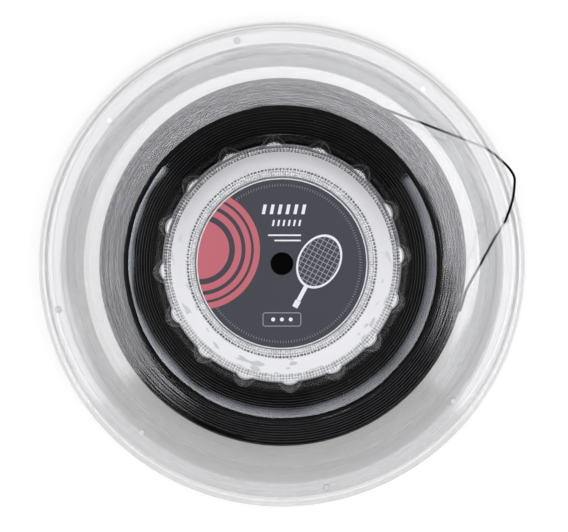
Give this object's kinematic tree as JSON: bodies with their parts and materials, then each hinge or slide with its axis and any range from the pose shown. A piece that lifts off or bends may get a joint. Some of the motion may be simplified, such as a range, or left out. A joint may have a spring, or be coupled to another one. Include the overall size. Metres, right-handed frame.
{
  "type": "string reel",
  "caption": "Clear formed-plastic reel wound with black racket string, with a disc label round its spindle hole and the free end tucked through a hole in the rim.",
  "frame": {"origin": "on the reel's axis, in the plane of the rear rim bead that the reel lies on", "axes": "+Z along the reel's axis towards the front, labelled side; +X to the right and +Y up as seen from the front with the free end's tuck hole at the right"},
  "size_m": [0.22, 0.22, 0.0356],
  "materials": {
    "clear_sheet": "clear thermoformed sheet, glossy, with knurled weld rings",
    "bush_plastic": "black moulded plastic",
    "label_print": "printed paper label with a satin film",
    "string": "coated black racket string, satin sheen"
  },
  "bodies": {
    "root": {"front_shell": "clear_sheet", "rear_shell": "clear_sheet", "spindle_bush": "bush_plastic", "front_label": "label_print", "rear_label": "label_print", "string_core": "string", "string_outer_layer": "string", "string_free_end": "string"}
  },
  "joints": []
}
